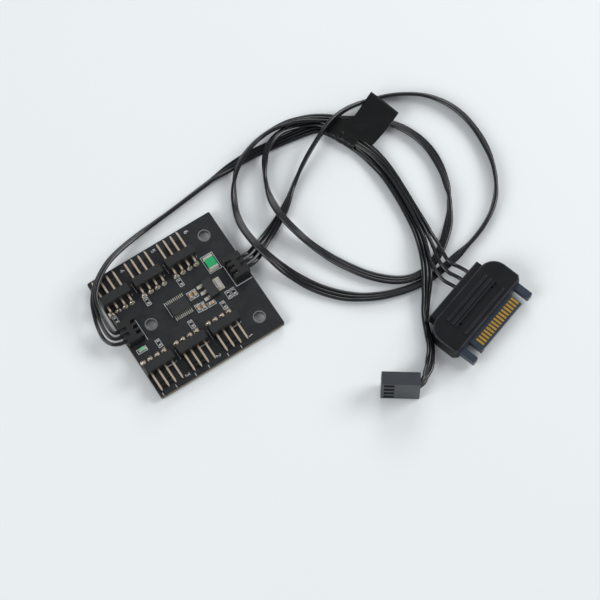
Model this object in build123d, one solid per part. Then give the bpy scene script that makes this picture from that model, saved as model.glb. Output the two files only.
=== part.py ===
from build123d import *
import math
import os

# Driving dimensions, in millimetres.
# The board stands on its pin tails: z = 0 is the table, x and y are 0 at the board's centre.

# Circuit board
board_length = 46.2
board_width = 45.6
board_thickness = 1.6
board_corner_radius = 0.5
screw_hole_diameter = 3.6
screw_hole_end_inset = 5.7
screw_hole_side_inset = 6.2
left_hole_inset = 10.15
pin_tail = 1.2
seat_clearance = 0.02

# Fan headers: right-angle pins through a moulded housing
headers_per_row = 3
header_spacing = 12.13
header_end_inset = 5.05
pad_row_inset = 13.1
pins_per_header = 4
pin_pitch = 2.54
pin_size = 0.64
pin_height = 2.3
pin_bend_radius = 0.9
pin_stand_out = 6.6
pin_tip_length = 0.8
pin_tip_inset = 0.18
housing_offset = 2.0
housing_depth = 3.2
housing_height = 5.0
housing_edge_radius = 0.35
tab_length = 5.2
tab_width = 5.0
tab_shift = 1.27
tab_thickness = 1.1
tab_ramp_length = 1.6
tab_ramp_rise = 0.35

# Side-entry wire headers and their plugs
wire_ways = 3
wire_pitch = 2.0
wire_pin_size = 0.5
wire_pin_height = 2.4
wire_pin_row_inset = 4.5
wire_pin_bend_radius = 0.6
wire_pin_into_plug = 2.2
power_header_y = 1.0
signal_header_y = 0.6
shell_side_margin = 1.95
shell_height = 4.8
shell_wall = 0.65
shell_behind_pins = 1.4
shell_rear_wall = 1.0
shell_cavity_depth = 2.65
leg_slot = 1.1
mouth_notch_width = 1.2
mouth_notch_depth = 1.8
plug_clearance = 0.08
plug_stand_out = 0.2
plug_edge_chamfer = 0.3
plug_window_length = 1.2
plug_window_depth = 0.5

# Driver chip
chip_x = -2.3
chip_y = 0.1
chip_length = 6.5
chip_width = 4.4
chip_height = 1.0
chip_standoff = 0.12
chip_leads_per_side = 10
chip_lead_pitch = 0.65
chip_lead_width = 0.25
chip_lead_thickness = 0.15
chip_lead_reach = 1.0
chip_lead_foot = 0.55

# Voltage regulator
regulator_x = 9.4
regulator_y = 0.0
regulator_length = 6.5
regulator_depth = 3.5
regulator_height = 1.6
regulator_standoff = 0.08
regulator_lead_count = 3
regulator_lead_pitch = 2.3
regulator_lead_width = 0.7
regulator_lead_thickness = 0.25
regulator_lead_reach = 1.75
regulator_lead_foot = 0.9
regulator_tab_width = 3.0

# Draft of the moulded chip bodies, in degrees
mould_draft = 8

# Resettable fuse
fuse_x = 14.2
fuse_y = 7.4
fuse_length = 4.6
fuse_width = 3.2
fuse_height = 1.0
fuse_terminal = 0.7

# Status lamp
lamp_end_inset = 3.4
lamp_y = -5.7
lamp_length = 2.0
lamp_width = 1.25
lamp_base_height = 0.4
lamp_lens_height = 0.4
lamp_terminal = 0.4

# Chip resistors and capacitors. Places on the board: x, y and the turn of the long side from y, in degrees.
# Five resistors follow the fan headers: x from the first header, its row and the inset from its pads.
# One more lies about midway between the signal header's side and the pads of the header beside it.
resistor_length = 1.6
resistor_width = 0.8
resistor_height = 0.45
capacitor_length = 1.6
capacitor_width = 0.85
capacitor_height = 0.8
chip_terminal = 0.35
upper_resistors = [(20.45, 1, 2.7), (8.15, 1, 2.5)]
lower_resistors = [(28.05, -1, 2.6), (15.95, -1, 2.7), (3.85, -1, 2.9)]
signal_resistor_end_inset = 1.4
signal_resistor_off_middle = 0.075
power_resistors = [(13.2, -4.9, 0), (15.1, -4.9, 0)]
capacitor_places = [(4.3, 1.3, 0), (2.6, 1.3, 0), (2.6, -3.6, 0), (4.3, -3.8, 0), (7.0, -4.5, 90)]

# Drive-power plug: its own frame has y = 0 at the hood's front edge and the wires at +y
drive_plug_place = (78.3, -57.05)
drive_plug_turn = 17.7
hood_width = 33.6
hood_depth = 12.4
hood_height = 7.0
hood_corner_radius = 5.6
hood_front_chamfer = 1.2
hood_edge_radius = 0.6
lip_width = 24.0
lip_depth = 2.2
lip_drop = 0.5
grip_length = 20.0
grip_width = 0.9
grip_rise = 0.55
grip_top_radius = 0.3
grip_rows = [9.0, 7.1, 2.0]
recess_row = 5.2
recess_width = 1.3
recess_depth = 0.4
pip_spacing = 16.2
pip_diameter = 0.8
pip_depth = 0.8
wire_entry_height = 3.9
wire_entry_diameter = 1.3
wire_entry_depth = 2.0
wire_entries = [1.6, 4.9, 8.2]
insert_width = 30.4
insert_height = 4.4
insert_floor = 1.3
insert_depth = 0.3
insert_plug_in = 2.4
insert_clearance = 0.05
arm_width = 2.3
arm_length = 5.8
arm_height = 2.8
arm_tip_radius = 0.5
tongue_width = 20.6
tongue_length = 5.2
tongue_thickness = 1.3
tongue_floor = 3.4
key_width = 1.3
key_drop = 1.5
contact_count = 15
contact_pitch = 1.27
contact_width = 0.72
contact_setback = 0.8
contact_length = 3.0
contact_shift = 0.7
contact_thickness = 0.16

# Fan plug on the signal lead, standing on its narrow side and leaning back a little
fan_plug_place = (41.6, -61.3)
fan_plug_turn = -34.4
fan_plug_lean = 7
fan_plug_length = 12.3
fan_plug_thickness = 4.6
fan_cavity = 1.7
fan_pin_hole = 1.0
fan_pin_hole_depth = 1.2
fan_window_start = 0.9
fan_window_length = 3.3
fan_window_height = 1.5
fan_rib_rise = 0.9
fan_rib_width = 1.0
fan_rib_length = 9.0
fan_wired_ways = 3
fan_contact_length = 7.0
fan_contact_gap = 0.06

# Label flag wrapped round both leads
label_place = (74.2, 21.34)
label_turn = -67.8
label_start = -6.5
label_end = 7.7
label_end_slant = 45
label_thickness = 0.3
label_clearance = 0.2
label_lead_spacing = 3.4
flag_width = 11.0
flag_length = 15.5
flag_thickness = 0.4
flag_angle = 14
flag_shift = 4.9

# Leads: each is a bundle of three insulated wires, drawn as one round tube between two plugs
lead_diameter = 2.2
lead_exit = 2.3
power_route = [(27.7, 2.0, 3.7), (30.2, 3.6, 2.2), (33.6, 5.4, 1.2), (39.0, 7.6, 1.1),
               (45.5, 11.2, 1.1), (51.5, 16.2, 1.1), (58.2, 20.4, 2.4), (65.4, 24.0, 4.4),
               (73.0, 27.4, 4.7), (80.5, 28.8, 3.3), (88.2, 28.0, 1.6), (97.6, 25.2, 1.1),
               (106.4, 19.2, 1.1), (111.8, 9.6, 1.1), (112.8, -2.5, 1.1), (110.0, -15.0, 1.1),
               (103.4, -25.0, 1.1), (93.0, -30.8, 1.1), (81.0, -33.6, 1.1), (69.6, -35.4, 1.1),
               (58.0, -33.2, 1.1), (46.6, -27.4, 1.1), (38.4, -18.4, 1.1), (33.2, -8.6, 2.4),
               (30.4, -1.0, 5.2), (29.0, 6.0, 5.2), (29.2, 13.5, 3.0), (31.4, 20.6, 1.4),
               (35.6, 27.6, 2.0), (40.4, 32.0, 3.8), (46.6, 35.1, 3.8), (53.5, 37.6, 2.0),
               (61.2, 38.2, 1.1), (69.4, 34.9, 1.1), (77.6, 28.2, 1.1), (86.0, 22.2, 1.1),
               (92.6, 14.8, 1.1), (96.2, 5.0, 1.1), (95.4, -6.0, 1.1), (91.0, -17.0, 1.1),
               (83.4, -25.6, 1.1), (74.0, -30.8, 1.1), (64.5, -31.2, 1.1), (56.0, -25.2, 1.1),
               (49.6, -15.4, 1.1), (45.0, -5.2, 1.8), (42.2, 3.6, 3.8), (41.4, 11.4, 3.8),
               (43.2, 19.2, 2.0), (46.4, 26.0, 2.2), (50.0, 30.8, 3.8), (55.0, 33.8, 3.8),
               (60.6, 34.8, 2.2), (66.4, 33.0, 1.5), (71.5, 30.3, 1.6), (75.6, 21.9, 1.6),
               (79.4, 12.6, 1.6), (80.4, 2.6, 1.2), (79.9, -8.5, 1.1), (79.4, -19.0, 1.8),
               (78.2, -27.4, 4.0), (77.0, -34.2, 4.3)]
signal_route = [(-27.0, 3.0, 5.6), (-26.8, 7.2, 6.4), (-25.9, 11.4, 7.0), (-24.7, 15.2, 7.2),
                (-22.4, 18.4, 7.1), (-19.4, 21.0, 7.0), (-16.0, 23.2, 6.8), (-12.4, 25.0, 6.0),
                (-7.7, 26.6, 4.6), (-2.2, 28.0, 3.0), (3.4, 29.1, 1.6), (12.0, 29.9, 1.1),
                (22.0, 31.1, 1.1), (35.0, 32.6, 1.1), (45.0, 33.2, 1.1), (54.0, 32.0, 1.1),
                (60.0, 31.0, 1.3), (65.2, 30.2, 1.5), (69.4, 28.4, 1.6), (72.8, 20.8, 1.6),
                (76.6, 11.5, 1.6), (77.6, 2.0, 1.3), (77.3, -8.0, 1.1), (76.3, -18.0, 1.8),
                (74.0, -26.4, 3.9), (71.0, -33.8, 4.3), (67.0, -40.2, 2.4), (61.2, -45.6, 1.2),
                (57.6, -52.6, 1.1), (54.6, -58.0, 2.2), (52.8, -62.0, 4.2), (51.6, -64.6, 6.0)]

# Values that follow from the driving dimensions
board_bottom = pin_tail
board_top = board_bottom + board_thickness
board_end_x = board_length / 2
board_side_y = board_width / 2
screw_hole_x = board_end_x - screw_hole_end_inset
screw_hole_y = board_side_y - screw_hole_side_inset
left_hole_x = left_hole_inset - board_end_x
header_first_x = header_end_inset - board_end_x
pad_row_y = board_side_y - pad_row_inset
wire_pin_row_x = board_end_x - wire_pin_row_inset
lamp_x = lamp_end_inset - board_end_x
housing_width = pins_per_header * pin_pitch
shell_width = (wire_ways - 1) * wire_pitch + 2 * shell_side_margin
signal_side_y = signal_header_y + shell_width / 2
signal_resistor_y = (signal_side_y + pad_row_y) / 2 + signal_resistor_off_middle
upper_places = [(header_first_x + x, row * (pad_row_y - inset), 0) for x, row, inset in upper_resistors]
lower_places = [(header_first_x + x, row * (pad_row_y - inset), 0) for x, row, inset in lower_resistors]
signal_places = [(signal_resistor_end_inset - board_end_x, signal_resistor_y, 0)]
resistor_places = upper_places + signal_places + lower_places + power_resistors
cavity_back = leg_slot / 2 + shell_rear_wall
shell_mouth = cavity_back + shell_cavity_depth
lip_back = hood_depth + lip_depth
drive_plug_frame = Pos(*drive_plug_place) * Rot(0, 0, drive_plug_turn)
fan_plug_lift = fan_plug_thickness / 2 * math.sin(math.radians(fan_plug_lean))
fan_plug_frame = Pos(*fan_plug_place, fan_plug_lift) * Rot(0, 0, fan_plug_turn) * Rot(-fan_plug_lean, 0, 0)
label_frame = Pos(*label_place) * Rot(0, 0, label_turn)
header_frames = [Pos(header_first_x + i * header_spacing, row * pad_row_y, board_top) * Rot(0, 0, turn)
                 for row, turn in ((-1, 180), (1, 0)) for i in range(headers_per_row)[::row]]
power_header_frame = Pos(wire_pin_row_x, power_header_y, board_top) * Rot(0, 0, -90)
signal_header_frame = Pos(-wire_pin_row_x, signal_header_y, board_top) * Rot(0, 0, 90)
rest_on = (Align.CENTER, Align.CENTER, Align.MIN)


def centred_row(count, pitch):
    return [(i - (count - 1) / 2) * pitch for i in range(count)]


def group(solids):
    return Compound(list(solids))


def bent_pin(size, tail, height, reach, bend_radius):
    path = FilletPolyline((0, 0, -tail), (0, 0, height), (0, reach, height), radius=bend_radius)
    return sweep(Plane(origin=path @ 0, z_dir=path % 0) * Rectangle(size, size), path=path)


# What is cut for a square pin that stands along z
def square_hole(size, length):
    return Box(size + 2 * seat_clearance, size + 2 * seat_clearance, length)


# A moulded chip body: two drafted halves that meet at the parting line
def moulded_body(size_x, size_y, height):
    upper = extrude(Rectangle(size_x, size_y), height / 2, taper=mould_draft)
    return Pos(0, 0, height / 2) * (upper + mirror(upper, about=Plane.XY))


# A gull-wing lead that leaves a body at y = 0 and stands on the board
def gull_wing(drop, reach, foot, thickness, width):
    heel = reach - foot
    side = Polyline((0, drop + thickness / 2), (thickness, drop + thickness / 2), (heel, thickness),
                    (reach, thickness), (reach, 0), (heel - thickness / 2, 0), (0, drop - thickness / 2),
                    close=True)
    return extrude(Plane.YZ * make_face(side), width / 2, both=True)


# Circuit board with its screw holes and, where solder fills a pin's hole, the pin's own square outline
def circuit_board():
    outline = RectangleRounded(board_length, board_width, board_corner_radius)
    for place in ((screw_hole_x, -screw_hole_y), (screw_hole_x, screw_hole_y), (left_hole_x, 0)):
        outline -= Pos(*place) * Circle(screw_hole_diameter / 2)
    board = Pos(0, 0, board_bottom) * extrude(outline, board_thickness)
    pin_hole = square_hole(pin_size, 3 * board_thickness)
    wire_hole = square_hole(wire_pin_size, 3 * board_thickness)
    holes = [frame * Pos(x, 0, 0) * pin_hole for frame in header_frames
             for x in centred_row(pins_per_header, pin_pitch)]
    holes += [frame * Pos(x, 0, 0) * wire_hole for frame in (power_header_frame, signal_header_frame)
              for x in centred_row(wire_ways, wire_pitch)]
    return board - holes


# Fan header: origin on the board at the middle of the pad row, mating side towards +y
def fan_header_housing():
    front = housing_offset + housing_depth
    side = Rectangle(housing_depth, housing_height, align=(Align.MIN, Align.MIN))
    side = Pos(housing_offset, 0) * side
    side = fillet(side.vertices().group_by(Axis.Y)[-1], housing_edge_radius)
    block = extrude(Plane.YZ * side, housing_width / 2, both=True)
    hole = Rot(90, 0, 0) * square_hole(pin_size, 3 * housing_depth)
    block -= [Pos(x, front, pin_height) * hole for x in centred_row(pins_per_header, pin_pitch)]
    tip = front + tab_length
    tab_side = Polyline((front, 0), (tip, 0), (tip, tab_thickness),
                        (tip - tab_ramp_length / 2, tab_thickness + tab_ramp_rise),
                        (tip - tab_ramp_length, tab_thickness), (front, tab_thickness), close=True)
    tab = extrude(Plane.YZ * make_face(tab_side), tab_width / 2, both=True)
    return block + Pos(tab_shift, 0, 0) * tab


def fan_header_pins():
    reach = housing_offset + housing_depth + pin_stand_out
    pin = bent_pin(pin_size, board_thickness + pin_tail, pin_height, reach, pin_bend_radius)
    tip = pin.faces().sort_by(Axis.Y)[-1]
    pin = chamfer(tip.edges(), pin_tip_inset, pin_tip_length, reference=tip)
    return group(Pos(x, 0, 0) * pin for x in centred_row(pins_per_header, pin_pitch))


# Side-entry header: origin on the board at the middle of the pin row, mouth towards +y
def wire_header_shell():
    length = shell_behind_pins + shell_mouth
    shell = Pos(0, shell_mouth - length / 2, 0) * Box(shell_width, length, shell_height, align=rest_on)
    cavity_size = (shell_width - 2 * shell_wall, 2 * shell_cavity_depth, shell_height - 2 * shell_wall)
    shell -= Pos(0, shell_mouth, shell_height / 2) * Box(*cavity_size)
    rear = Box(leg_slot, 2 * shell_behind_pins + leg_slot, 3 * shell_height)
    pin_hole = Rot(90, 0, 0) * square_hole(wire_pin_size, 4 * shell_rear_wall)
    for x in centred_row(wire_ways, wire_pitch):
        shell -= Pos(x, -shell_behind_pins, 0) * rear
        shell -= Pos(x, cavity_back, wire_pin_height) * pin_hole
    notch = Box(mouth_notch_width, 2 * mouth_notch_depth, 3 * shell_wall)
    shell -= [Pos(x, shell_mouth, shell_height) * notch for x in centred_row(wire_ways - 1, wire_pitch)]
    return shell


def wire_header_pins():
    reach = cavity_back + wire_pin_into_plug
    pin = bent_pin(wire_pin_size, board_thickness + pin_tail, wire_pin_height, reach, wire_pin_bend_radius)
    return group(Pos(x, 0, 0) * pin for x in centred_row(wire_ways, wire_pitch))


def wire_plug():
    width = shell_width - 2 * (shell_wall + plug_clearance)
    height = shell_height - 2 * (shell_wall + plug_clearance)
    back = shell_mouth + plug_stand_out
    front = cavity_back + plug_clearance
    plug = Pos(0, (front + back) / 2, shell_height / 2) * Box(width, back - front, height)
    plug = chamfer(plug.faces().sort_by(Axis.Y)[0].edges(), plug_edge_chamfer)
    hole_size = wire_pin_size + 2 * plug_clearance
    pin_hole = Box(hole_size, 2 * wire_pin_into_plug, hole_size)
    window = Box(wire_pin_size, plug_window_length, 2 * plug_window_depth)
    for x in centred_row(wire_ways, wire_pitch):
        plug -= Pos(x, front, wire_pin_height) * pin_hole
        plug -= Pos(x, (front + back) / 2, (shell_height + height) / 2) * window
    return plug


def driver_chip_leads():
    drop = chip_standoff + chip_height / 2
    lead = gull_wing(drop, chip_lead_reach, chip_lead_foot, chip_lead_thickness, chip_lead_width)
    leads = [Pos(x, chip_width / 2, 0) * lead for x in centred_row(chip_leads_per_side, chip_lead_pitch)]
    return group(leads + [Rot(0, 0, 180) * piece for piece in leads])


# The regulator lies with its leads towards -x and its heat tab towards +x
def regulator_metal():
    drop = regulator_standoff + regulator_height / 2
    shape = (drop, regulator_lead_reach, regulator_lead_foot, regulator_lead_thickness)
    lead = Rot(0, 0, 90) * (Pos(0, regulator_depth / 2, 0) * gull_wing(*shape, regulator_lead_width))
    tab = Rot(0, 0, -90) * (Pos(0, regulator_depth / 2, 0) * gull_wing(*shape, regulator_tab_width))
    places = centred_row(regulator_lead_count, regulator_lead_pitch)
    return group([Pos(0, y, 0) * lead for y in places] + [tab])


# A chip part: a body along y between two end terminals
def end_terminals(length, width, height, terminal):
    block = Box(width, terminal, height, align=rest_on)
    return [Pos(0, side * (length - terminal) / 2, 0) * block for side in (-1, 1)]


def between_terminals(length, width, height, terminal):
    return Box(width, length - 2 * terminal, height, align=rest_on)


def chip_parts(places, part):
    return [Pos(x, y, board_top) * Rot(0, 0, turn) * part for x, y, turn in places]


def lamp_lens():
    base = Rectangle(lamp_width, lamp_length - 2 * lamp_terminal)
    return Pos(0, 0, lamp_base_height) * extrude(base, lamp_lens_height, taper=mould_draft)


# Drive-power plug
def drive_plug_hood():
    outline = Pos(0, hood_depth / 2) * Rectangle(hood_width, hood_depth)
    outline = fillet(outline.vertices().group_by(Axis.Y)[-1], hood_corner_radius)
    outline = chamfer(outline.vertices().group_by(Axis.Y)[0], hood_front_chamfer)
    hood = extrude(outline, hood_height)
    rims = hood.edges().group_by(Axis.Z)
    hood = fillet(rims[0] + rims[-1], hood_edge_radius)
    lip_height = hood_height - 2 * lip_drop
    lip = Box(lip_width, 2 * lip_depth, lip_height, align=rest_on)
    lip = fillet(lip.edges().filter_by(Axis.X).group_by(Axis.Y)[-1], hood_edge_radius)
    hood += Pos(0, hood_depth, lip_drop) * lip
    bar = extrude(SlotOverall(grip_length, grip_width), grip_rise)
    bar = fillet(bar.edges().group_by(Axis.Z)[-1], grip_top_radius)
    hood += [Pos(0, y, hood_height) * bar for y in grip_rows]
    recess = extrude(SlotOverall(grip_length, recess_width), recess_depth, both=True)
    pip = Cylinder(pip_diameter / 2, 2 * (recess_depth + pip_depth))
    hood -= Pos(0, recess_row, hood_height) * recess
    hood -= [Pos(x, recess_row, hood_height) * pip for x in centred_row(2, pip_spacing)]
    entry = Rot(90, 0, 0) * Cylinder(wire_entry_diameter / 2, 2 * wire_entry_depth)
    hood -= [Pos(x, lip_back, wire_entry_height) * entry for x in wire_entries]
    pocket_width = insert_width + 2 * insert_clearance
    pocket_height = insert_height + 2 * insert_clearance
    pocket = Box(pocket_width, 2 * insert_plug_in, pocket_height, align=rest_on)
    return hood - Pos(0, 0, insert_floor - insert_clearance) * pocket


def drive_plug_insert():
    depth = insert_depth + insert_plug_in - insert_clearance
    base = Box(insert_width, depth, insert_height, align=rest_on)
    base = Pos(0, depth / 2 - insert_depth, insert_floor) * base
    tongue = Box(tongue_width, 2 * tongue_length, tongue_thickness, align=rest_on)
    key = Box(key_width, 2 * tongue_length, key_drop, align=rest_on)
    key_x = (key_width - tongue_width) / 2
    arm_outline = Rectangle(arm_width, 2 * arm_length)
    arm_outline = fillet(arm_outline.vertices().group_by(Axis.Y)[0], arm_tip_radius)
    arm = extrude(arm_outline, arm_height)
    insert = base + Pos(0, 0, tongue_floor) * tongue + Pos(key_x, 0, tongue_floor - key_drop) * key
    arm_floor = insert_floor + (insert_height - arm_height) / 2
    insert += [Pos(side * (insert_width - arm_width) / 2, 0, arm_floor) * arm for side in (-1, 1)]
    inside = Pos(0, insert_plug_in - insert_clearance, 0) * Box(
        2 * insert_width, 4 * tongue_length, 8 * insert_height,
        align=(Align.CENTER, Align.MIN, Align.CENTER))
    return insert - inside


def drive_plug_contacts():
    front = contact_setback - tongue_length
    strip = Box(contact_width, contact_length, contact_thickness, align=(Align.CENTER, Align.MIN, Align.MIN))
    top = tongue_floor + tongue_thickness
    row = [contact_shift + x for x in centred_row(contact_count, contact_pitch)]
    return group(Pos(x, front, top) * strip for x in row)


# Fan plug: its own frame has the mating end at -x, the wires at +x and z up its four ways
def fan_plug_housing():
    height = pins_per_header * pin_pitch
    housing = Box(fan_plug_length, fan_plug_thickness, height, align=rest_on)
    rib = Box(fan_rib_length, fan_rib_rise, fan_rib_width, align=(Align.MIN, Align.MIN, Align.CENTER))
    mouth = -fan_plug_length / 2
    ways = [height / 2 + z for z in centred_row(pins_per_header, pin_pitch)]
    housing += [Pos(mouth, fan_plug_thickness / 2, z) * rib for z in (ways[1], ways[2])]
    cavity = Box(fan_plug_length, fan_cavity, fan_cavity)
    pin_hole = Box(4 * fan_pin_hole_depth, fan_pin_hole, fan_pin_hole)
    window = Box(fan_window_length, fan_plug_thickness, fan_window_height,
                 align=(Align.MIN, Align.MAX, Align.CENTER))
    for z in ways:
        housing -= Pos(fan_pin_hole_depth, 0, z) * cavity
        housing -= Pos(mouth, 0, z) * pin_hole
        housing -= Pos(mouth + fan_window_start, 0, z) * window
    return housing


def fan_plug_contacts():
    height = pins_per_header * pin_pitch
    size = fan_cavity - 2 * fan_contact_gap
    sleeve = Box(fan_contact_length, size, size) - Box(2 * fan_contact_length, fan_pin_hole, fan_pin_hole)
    x = fan_pin_hole_depth + fan_contact_gap + (fan_contact_length - fan_plug_length) / 2
    ways = centred_row(pins_per_header, pin_pitch)[-fan_wired_ways:]
    return group(Pos(x, 0, height / 2 + z) * sleeve for z in ways)


# Label: a flat-oval wrap round the two leads, cut aslant, and its two ends stuck together as a flag
def cable_label():
    inner_height = lead_diameter + 2 * label_clearance
    inner = SlotOverall(label_lead_spacing + inner_height, inner_height)
    outer_height = inner_height + 2 * label_thickness
    outer = SlotOverall(label_lead_spacing + outer_height, outer_height)
    side = label_lead_spacing + outer_height
    slant = side * math.tan(math.radians(label_end_slant))
    span = make_face(Polyline((label_start, -side), (label_end - slant, -side), (label_end + slant, side),
                              (label_start, side), close=True))
    wrap = extrude(Plane.YZ * (outer - inner), label_end + slant, both=True)
    wrap &= extrude(span, outer_height, both=True)
    flag_side = Rectangle(flag_length, flag_thickness, align=(Align.MIN, Align.MIN))
    flag_root = Pos(label_lead_spacing / 2, inner_height / 2) * Rot(0, 0, flag_angle)
    flag = Pos(flag_shift, 0, 0) * extrude(Plane.YZ * (flag_root * flag_side), flag_width / 2, both=True)
    return Pos(0, 0, outer_height / 2) * (wrap + flag)


def corner_radii(points):
    radii = []
    for before, corner, after in zip(points, points[1:], points[2:]):
        arriving = Vector(corner) - Vector(before)
        leaving = Vector(after) - Vector(corner)
        half_turn = math.radians(arriving.get_angle(leaving)) / 2
        radii.append(0.45 * min(arriving.length, leaving.length) / math.tan(half_turn))
    return radii


# A lead runs straight out of one plug face, along its route and straight into the other plug face
def lead_tube(name, start, route, end):
    points = [tuple((start * Pos(0, step, 0)).position) for step in (0, lead_exit)]
    points += route
    points += [tuple((end * Pos(0, step, 0)).position) for step in (lead_exit, 0)]
    radii = corner_radii(points)
    path = FilletPolyline(*points, radius=radii)
    tube = sweep(Plane(origin=path @ 0, z_dir=path % 0) * Circle(lead_diameter / 2), path=path)
    share = tube.volume / (math.pi * lead_diameter ** 2 / 4 * path.length)
    print(name, "length", round(path.length, 1), "volume over section times length", round(share, 4))
    print(name, "ends", [[round(v, 2) for v in p] for p in (points[:2] + points[-2:])])
    print(name, "arc radii", [round(r, 1) for r in radii])
    return tube


nodes = {"circuit_board": circuit_board()}
for number, frame in enumerate(header_frames, 1):
    nodes[f"fan_header_{number}_housing"] = frame * fan_header_housing()
    nodes[f"fan_header_{number}_pins"] = frame * fan_header_pins()
for name, frame in (("power", power_header_frame), ("signal", signal_header_frame)):
    nodes[f"{name}_header_shell"] = frame * wire_header_shell()
    nodes[f"{name}_header_pins"] = frame * wire_header_pins()
    nodes[f"{name}_plug"] = frame * wire_plug()

chip_frame = Pos(chip_x, chip_y, board_top)
chip_body = moulded_body(chip_length, chip_width, chip_height)
nodes["driver_chip_body"] = chip_frame * Pos(0, 0, chip_standoff) * chip_body
nodes["driver_chip_leads"] = chip_frame * driver_chip_leads()
regulator_frame = Pos(regulator_x, regulator_y, board_top)
regulator_body = moulded_body(regulator_depth, regulator_length, regulator_height)
nodes["regulator_body"] = regulator_frame * Pos(0, 0, regulator_standoff) * regulator_body
nodes["regulator_leads"] = regulator_frame * regulator_metal()

fuse_frame = Pos(fuse_x, fuse_y, board_top)
fuse_sizes = (fuse_length, fuse_width, fuse_height, fuse_terminal)
nodes["fuse_body"] = fuse_frame * between_terminals(*fuse_sizes)
nodes["fuse_terminals"] = fuse_frame * group(end_terminals(*fuse_sizes))
lamp_frame = Pos(lamp_x, lamp_y, board_top) * Rot(0, 0, 90)
lamp_sizes = (lamp_length, lamp_width, lamp_base_height, lamp_terminal)
nodes["lamp_base"] = lamp_frame * between_terminals(*lamp_sizes)
nodes["lamp_terminals"] = lamp_frame * group(end_terminals(*lamp_sizes))
nodes["lamp_lens"] = lamp_frame * lamp_lens()

resistor_sizes = (resistor_length, resistor_width, resistor_height, chip_terminal)
capacitor_sizes = (capacitor_length, capacitor_width, capacitor_height, chip_terminal)
for name, places, sizes in (("resistor", resistor_places, resistor_sizes),
                            ("capacitor", capacitor_places, capacitor_sizes)):
    for number, body in enumerate(chip_parts(places, between_terminals(*sizes)), 1):
        nodes[f"{name}_{number}"] = body
    ends = [end for block in end_terminals(*sizes) for end in chip_parts(places, block)]
    nodes[f"{name}_terminals"] = group(ends)

nodes["drive_plug_hood"] = drive_plug_frame * drive_plug_hood()
nodes["drive_plug_insert"] = drive_plug_frame * drive_plug_insert()
nodes["drive_plug_contacts"] = drive_plug_frame * drive_plug_contacts()
nodes["fan_plug_housing"] = fan_plug_frame * fan_plug_housing()
nodes["fan_plug_contacts"] = fan_plug_frame * fan_plug_contacts()
nodes["cable_label"] = label_frame * cable_label()

plug_back = Pos(0, shell_mouth + plug_stand_out, wire_pin_height)
drive_plug_back = drive_plug_frame * Pos(wire_entries[1], lip_back, wire_entry_height)
wired_middle = housing_width / 2 + centred_row(pins_per_header, pin_pitch)[-(fan_wired_ways + 1) // 2]
fan_back = fan_plug_frame * Pos(fan_plug_length / 2, 0, wired_middle) * Rot(0, 0, -90)
nodes["power_lead"] = lead_tube("power lead", power_header_frame * plug_back, power_route, drive_plug_back)
nodes["signal_lead"] = lead_tube("signal lead", signal_header_frame * plug_back, signal_route, fan_back)

os.makedirs("parts", exist_ok=True)
for name, shape in nodes.items():
    export_step(shape, f"parts/{name}.step")
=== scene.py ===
import math

import bmesh
import bpy
from mathutils import Matrix, Vector, noise


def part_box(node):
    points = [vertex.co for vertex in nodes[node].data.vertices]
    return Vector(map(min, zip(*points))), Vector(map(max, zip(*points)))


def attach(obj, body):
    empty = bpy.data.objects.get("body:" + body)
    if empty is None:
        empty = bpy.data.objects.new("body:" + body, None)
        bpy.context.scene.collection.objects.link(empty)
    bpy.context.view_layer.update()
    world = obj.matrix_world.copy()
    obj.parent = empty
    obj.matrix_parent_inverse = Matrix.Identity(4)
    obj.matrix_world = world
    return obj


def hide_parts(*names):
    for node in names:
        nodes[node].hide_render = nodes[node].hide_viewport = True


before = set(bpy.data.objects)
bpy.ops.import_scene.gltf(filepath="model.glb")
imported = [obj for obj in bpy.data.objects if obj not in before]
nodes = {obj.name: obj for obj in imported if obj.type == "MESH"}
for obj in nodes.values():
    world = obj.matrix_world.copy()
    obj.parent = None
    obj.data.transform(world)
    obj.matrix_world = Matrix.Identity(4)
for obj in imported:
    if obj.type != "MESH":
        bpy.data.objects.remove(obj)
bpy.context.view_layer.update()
scene = bpy.context.scene
mm = 0.001  # lengths below are in millimetres unless a name says otherwise
print("frame loaded:", len(nodes), "solids")

# Camera: looks down at the table from the board's near left corner
cameraView = {
    "target": (31.93, -17.99, 0.0),
    "distance": 800.0,
    "elevation": 70.0,  # degrees above the table
    "turn": -32.88,  # degrees that the picture is turned against the board
    "lens": 149.47,
    "sensor": 36.0,
}


# A place given in picture terms: right, away from the viewer and up, from the camera's target
def stagePoint(right, away, up):
    turned = Matrix.Rotation(math.radians(cameraView["turn"]), 3, "Z") @ Vector((right, away, up))
    return (turned + Vector(cameraView["target"])) * mm


def makeCamera():
    data = bpy.data.cameras.new("camera")
    data.lens = cameraView["lens"]
    data.sensor_width = cameraView["sensor"]
    data.clip_start = 0.01
    camera = bpy.data.objects.new("camera", data)
    rise = math.radians(cameraView["elevation"])
    reach = cameraView["distance"]
    camera.location = stagePoint(0, -reach * math.cos(rise), reach * math.sin(rise))
    camera.rotation_euler = (math.pi / 2 - rise, 0, math.radians(cameraView["turn"]))
    scene.collection.objects.link(camera)
    scene.camera = camera


makeCamera()
print("camera set")


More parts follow.
